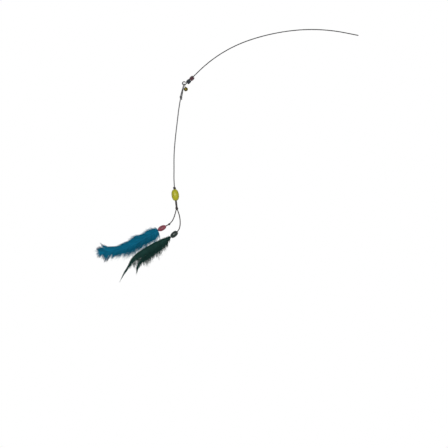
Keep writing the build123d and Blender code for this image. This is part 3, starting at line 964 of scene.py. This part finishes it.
def drawn_tufts(pen, loose, factor):
    """Barbs drawn towards the leader of their tuft at their ends, frizzed and toned by tuft."""
    index = pen.out("GeometryNodeInputIndex")
    position = pen.out("GeometryNodeInputPosition")
    number = pen.out("GeometryNodeCurveOfPoint", {"Point Index": index})
    tuft, leader = tuft_of(pen, number)
    away = pen.math("MULTIPLY", pen.math("SUBTRACT", leader, number), BARB_STEPS + 1)
    guide = {"Geometry": loose, "Value": position, "Index": pen.math("ADD", index, away)}
    guide = pen.out("GeometryNodeSampleIndex", guide, data_type="FLOAT_VECTOR")
    hold = pen.math("MULTIPLY", pen.entry["Tuft Pull"], pen.chance(0.55, 1.0, 4, tuft))
    pull = pen.math("MULTIPLY", pen.math("POWER", factor, 1.25), hold)
    drawn = {"Factor_Float": pull, "A_Vector": position, "B_Vector": guide}
    drawn = pen.out("ShaderNodeMix", drawn, data_type="VECTOR")

    noise = pen.out("ShaderNodeTexNoise", {"Scale": 260.0, "Detail": 2.0}, "Color")
    around = {"Vector": noise, "Vector_001": (0.5, 0.5, 0.5)}
    centred = pen.out("ShaderNodeVectorMath", around, operation="SUBTRACT")
    frizz = {"Vector": centred, "Scale": pen.math("MULTIPLY", factor, pen.entry["Frizz"])}
    waver = pen.out("ShaderNodeVectorMath", frizz, operation="SCALE")
    moved = {"Geometry": loose, "Position": drawn, "Offset": waver}
    moved = pen.out("GeometryNodeSetPosition", moved)
    return pen.store(moved, "tone", pen.chance(0.0, 1.0, 5, tuft))


def barb_tree():
    """Tree that grows the barbs of one side of a feather on its spine."""
    pen = BarbPen("feather_barbs")
    factor = pen.out("GeometryNodeSplineParameter")
    tufts = pen.store(drawn_tufts(pen, placed_barbs(pen), factor), "along", factor)
    cut = {"Curve": tufts, "End": pen.chance(pen.entry["Shortest"], 1.0, 6)}
    slimming = pen.math("MULTIPLY", pen.math("POWER", factor, 2.0), 0.85)
    section = {"Resolution": 3, "Radius": pen.entry["Radius"]}
    swept = {
        "Curve": pen.out("GeometryNodeTrimCurve", cut, mode="FACTOR"),
        "Profile Curve": pen.out("GeometryNodeCurvePrimitiveCircle", section),
        "Scale": pen.math("SUBTRACT", 1.0, slimming),
        "Fill Caps": True,
    }
    mesh = pen.out("GeometryNodeCurveToMesh", swept)
    real = pen.out("GeometryNodeRealizeInstances", {"Geometry": mesh})
    dyed = {"Geometry": real, "Material": pen.entry["Material"]}
    pen.feed(pen.out("GeometryNodeSetMaterial", dyed), pen.exit[0])
    return pen


def distances(path):
    """Distance of each point along a path, in millimetres."""
    return np.cumsum([0.0] + [(b - a).length for a, b in zip(path, path[1:])]) / MM


def spine_mesh(name, path, vane, side, widen, span):
    """Line of points along a shaft that stores one side's widths and reaches, over a span of it."""
    at = distances(path)
    outline, reaches = map(np.array, vane)
    chosen = [n for n, here in enumerate(at) if span[0] <= here <= span[1]]
    at = at[chosen]
    column = 1 if side > 0 else 2
    reach = np.interp(at, reaches[:, 0], reaches[:, column])
    stored = {
        "width": np.interp(at + reach, outline[:, 0], outline[:, column]) * widen,
        "reach": reach,
        "fluff": np.interp(at, outline[:, 0], outline[:, 3]),
    }
    mesh = bpy.data.meshes.new(name)
    edges = [(n, n + 1) for n in range(len(chosen) - 1)]
    mesh.from_pydata([path[n] for n in chosen], edges, [])
    for key, values in stored.items():
        layer = mesh.attributes.new(key, "FLOAT", "POINT")
        layer.data.foreach_set("value", (values * MM).astype(np.float32))
    return mesh


def grow_barbs(name, pen, spine, values):
    """Plain mesh of the barbs that the tree grows on a spine."""
    holder = put(spine.name, spine)
    modifier = holder.modifiers.new("barbs", "NODES")
    modifier.node_group = pen.tree
    for label, value in values.items():
        modifier[pen.keys[label]] = value
    evaluated = holder.evaluated_get(bpy.context.evaluated_depsgraph_get())
    mesh = bpy.data.meshes.new_from_object(evaluated)
    holder.modifiers.remove(modifier)
    bpy.data.objects.remove(holder)
    bpy.data.meshes.remove(spine)
    mesh.name = name
    return smooth(mesh)


def web_mesh(name, path, outline, end, share):
    """Thin lens-shaped core of a vane, inside the barbs."""
    at = distances(path)
    table = np.array(outline)
    stops = (0.0, WEB_BASE_RUN, end - WEB_END_RUN, end)
    shares = (WEB_BASE_SHARE, share, share, WEB_END_SHARE)
    rings = []
    for here in range(1, len(path) - 1):
        if not WEB_START <= at[here] <= end:
            continue
        along = (path[here + 1] - path[here - 1]).normalized()
        up = ACROSS.cross(along).normalized()
        sizes = [np.interp(at[here], table[:, 0], table[:, n]) * MM for n in (1, 2, 3)]
        above, below, fluff = sizes
        part = np.interp(at[here], stops, shares)
        ring = []
        for c, s in circle(WEB_SIDES):
            reach = above if c > 0 else below
            rise = up * c * reach * part
            ring.append(path[here] + rise + ACROSS * s * fluff * WEB_THICKNESS)
        rings.append(ring)
    return ring_mesh(name, rings)


class WAND_OT_feathers(bpy.types.Operator):
    """Blue plume and two green hackles: shafts, webs, barbs and loose wisps"""

    bl_idname = "wand.feathers"
    bl_label = "Feathers"

    def execute(self, context):
        dyes = context.scene.wand_feathers
        barb_dyes = {
            "blue": dyed_barbs("blue_barbs", dyes.blue, dyes.teal, dyes.pale),
            "smoky": dyed_barbs("smoky_barbs", dyes.blue, dyes.smoke, dyes.soot),
            "green": dyed_barbs("green_barbs", dyes.green, dyes.moss, dyes.dusk),
        }
        webs = {
            "blue": dyed_web("blue_web", dyes.blue, dyes.teal, -25.0),
            "green": dyed_web("green_web", dyes.green, dyes.moss, -55.0),
        }
        quills = {
            "blue": feather_quill("blue_quill_horn", shade(dyes.blue, 0.6)),
            "green": feather_quill("green_quill_horn", shade(dyes.green, 0.5)),
        }
        counts = {"blue": dyes.plume_barbs, "green": dyes.hackle_barbs}
        pen = barb_tree()
        for name, dye, body, node, slope, bead, *form in FEATHERS:
            shaft, aside, depth, radii, outline, reaches, web, barb_sets = form
            axis = sloping(slope)
            mouth = centre(node) + axis * bead.length / 2 * MM
            root = mouth + ACROSS * aside * MM
            free = places(mouth, [(-out, depth, -drop) for out, drop in shaft])
            path = smooth_path([root] + free, SHAFT_STEPS)
            line = [root - axis * QUILL_SEAT * MM] + path
            widths = np.linspace(*radii, len(line)) * MM
            horn = tube_mesh(f"{name}_horn", line, widths, QUILL_SIDES)
            new_piece(horn, quills[dye], body, f"{dye}_quill", f"{name}_shaft")
            core = web_mesh(f"{name}_web", path, outline, *web)
            new_piece(core, webs[dye], body, f"{dye}_feather", f"{name}_vane")

            for number, barbs in enumerate(barb_sets):
                side = 1.0 if barbs.name.startswith("upper") else -1.0
                vane = barbs.vane or (outline, reaches)
                spine = spine_mesh("spine", path, vane, side, barbs.widen, barbs.span)
                values = {
                    "Count": int(counts[dye] * barbs.share),
                    "Side": side,
                    "Radius": dyes.barb_radius * barbs.radius,
                    "Shortest": barbs.shortest,
                    "Uneven": barbs.uneven,
                    "Bow Forward": barbs.bow[0],
                    "Bow Aside": barbs.bow[1],
                    "Tuft": barbs.tuft,
                    "Tuft Pull": barbs.pull,
                    "Frizz": barbs.frizz * MM,
                    "Seed": dyes.seed + 10 * number,
                    "Material": barb_dyes[barbs.dye],
                }
                mesh = grow_barbs(f"{name}_{barbs.name}", pen, spine, values)
                new_piece(mesh, barb_dyes[barbs.dye], body, f"{dye}_feather")
        return {"FINISHED"}


# Stage


def seen_rays(pen):
    """1 for rays that show the surround, straight or by gloss or glass, and 0 for its light."""
    path = pen.add("ShaderNodeLightPath").outputs
    seen = path["Is Camera Ray"]
    for ray in ("Is Glossy Ray", "Is Transmission Ray"):
        seen = pen.math("MAXIMUM", seen, path[ray])
    return seen


def aim_camera(scene):
    """Camera that looks at the wand as the photograph does."""
    lens = bpy.data.cameras.new("photo_camera")
    lens.lens = LENS / MM
    lens.sensor_width = SENSOR / MM
    camera = put("photo_camera", lens)
    camera.location = PICTURE_CENTRE - ACROSS * PICTURE_WIDTH * LENS / SENSOR
    camera.rotation_euler = (math.pi / 2, 0, 0)
    scene.camera = camera


def hang_surround(scene):
    """Surround that looks white and lights the wand softly."""
    scene.world = bpy.data.worlds.new("white_surround")
    scene.world.use_nodes = True
    pen = Pen(scene.world.node_tree)
    pen.tree.nodes.clear()
    soft = {"Color": SOFT_LIGHT, "Strength": SOFT_STRENGTH}
    looks = {
        "Fac": seen_rays(pen),
        "Shader": pen.out("ShaderNodeBackground", soft),
        "Shader_001": pen.out("ShaderNodeBackground", {"Color": WHITE, "Strength": 1.0}),
    }
    pen.add("ShaderNodeOutputWorld", {"Surface": pen.out("ShaderNodeMixShader", looks)})


def set_lamps():
    """Soft square lamps that face the wand."""
    for name, place, size, power, colour in LAMPS:
        lamp = bpy.data.lights.new(name, "AREA")
        lamp.size = size
        lamp.energy = power
        lamp.color = colour
        turn = (LAMP_TARGET - place).to_track_quat("-Z", "Y").to_matrix().to_4x4()
        put(name, lamp).matrix_world = Matrix.Translation(place) @ turn


def lay_floor():
    """Pale round floor that shows the wand's shadow."""
    made = bmesh.new()
    bmesh.ops.create_circle(made, cap_ends=True, radius=FLOOR_RADIUS, segments=FLOOR_SIDES)
    bmesh.ops.translate(made, verts=made.verts, vec=FLOOR_PLACE)
    mesh = plain_mesh("pale_floor", made)
    pen = FinishPen("pale_floor_paint")
    grain = pen.shades(pen.noise(40.0, 3.0), WHITE[:3], (0.3, 0.86), (0.7, 0.9))
    glow = pen.span(seen_rays(pen), 0.0, FLOOR_GLOW)
    mesh.materials.append(pen.done(grain, 0.8, Emission_Color=WHITE, Emission_Strength=glow))
    put("pale_floor", mesh)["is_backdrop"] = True


class WAND_OT_stage(bpy.types.Operator):
    """Camera, soft lamps, white surround and pale floor"""

    bl_idname = "wand.stage"
    bl_label = "Stage"

    def execute(self, context):
        context.scene.view_settings.view_transform = "Standard"
        aim_camera(context.scene)
        hang_surround(context.scene)
        set_lamps()
        lay_floor()
        return {"FINISHED"}


class WAND_PT_panel(bpy.types.Panel):
    """Settings and steps of the wand's looks"""

    bl_idname = "WAND_PT_panel"
    bl_label = "Cat teaser wand"
    bl_space_type = "VIEW_3D"
    bl_region_type = "UI"
    bl_category = "Wand"

    def draw(self, context):
        for name in GROUPS:
            group = getattr(context.scene, name)
            for key in group.bl_rna.properties.keys():
                if key not in ("rna_type", "name"):
                    self.layout.prop(group, key)
        for step in STEPS:
            self.layout.operator(step.bl_idname)


STEPS = (WAND_OT_stage, WAND_OT_cords, WAND_OT_beads, WAND_OT_metal, WAND_OT_feathers)
GROUPS = {
    "wand_cords": WandCordSettings,
    "wand_beads": WandBeadSettings,
    "wand_metals": WandMetalSettings,
    "wand_feathers": WandFeatherSettings,
}
CLASSES = (*GROUPS.values(), *STEPS, WAND_PT_panel)


def register():
    """Register the classes and hang the settings on the scene."""
    for cls in CLASSES:
        bpy.utils.register_class(cls)
    for name, group in GROUPS.items():
        setattr(bpy.types.Scene, name, PointerProperty(type=group))


def unregister():
    """Take the settings and classes away again."""
    for name in GROUPS:
        delattr(bpy.types.Scene, name)
    for cls in reversed(CLASSES):
        bpy.utils.unregister_class(cls)


def main():
    """Dress the frame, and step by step."""
    register()
    bpy.ops.wand.stage()
    bpy.ops.wand.cords()
    bpy.ops.wand.beads()
    bpy.ops.wand.metal()
    bpy.ops.wand.feathers()
    boxes = {"cad": cad_box, "visual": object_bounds()}
    {key: [list(corner) for corner in box] for key, box in boxes.items()}


if __name__ == "__main__":
    main()
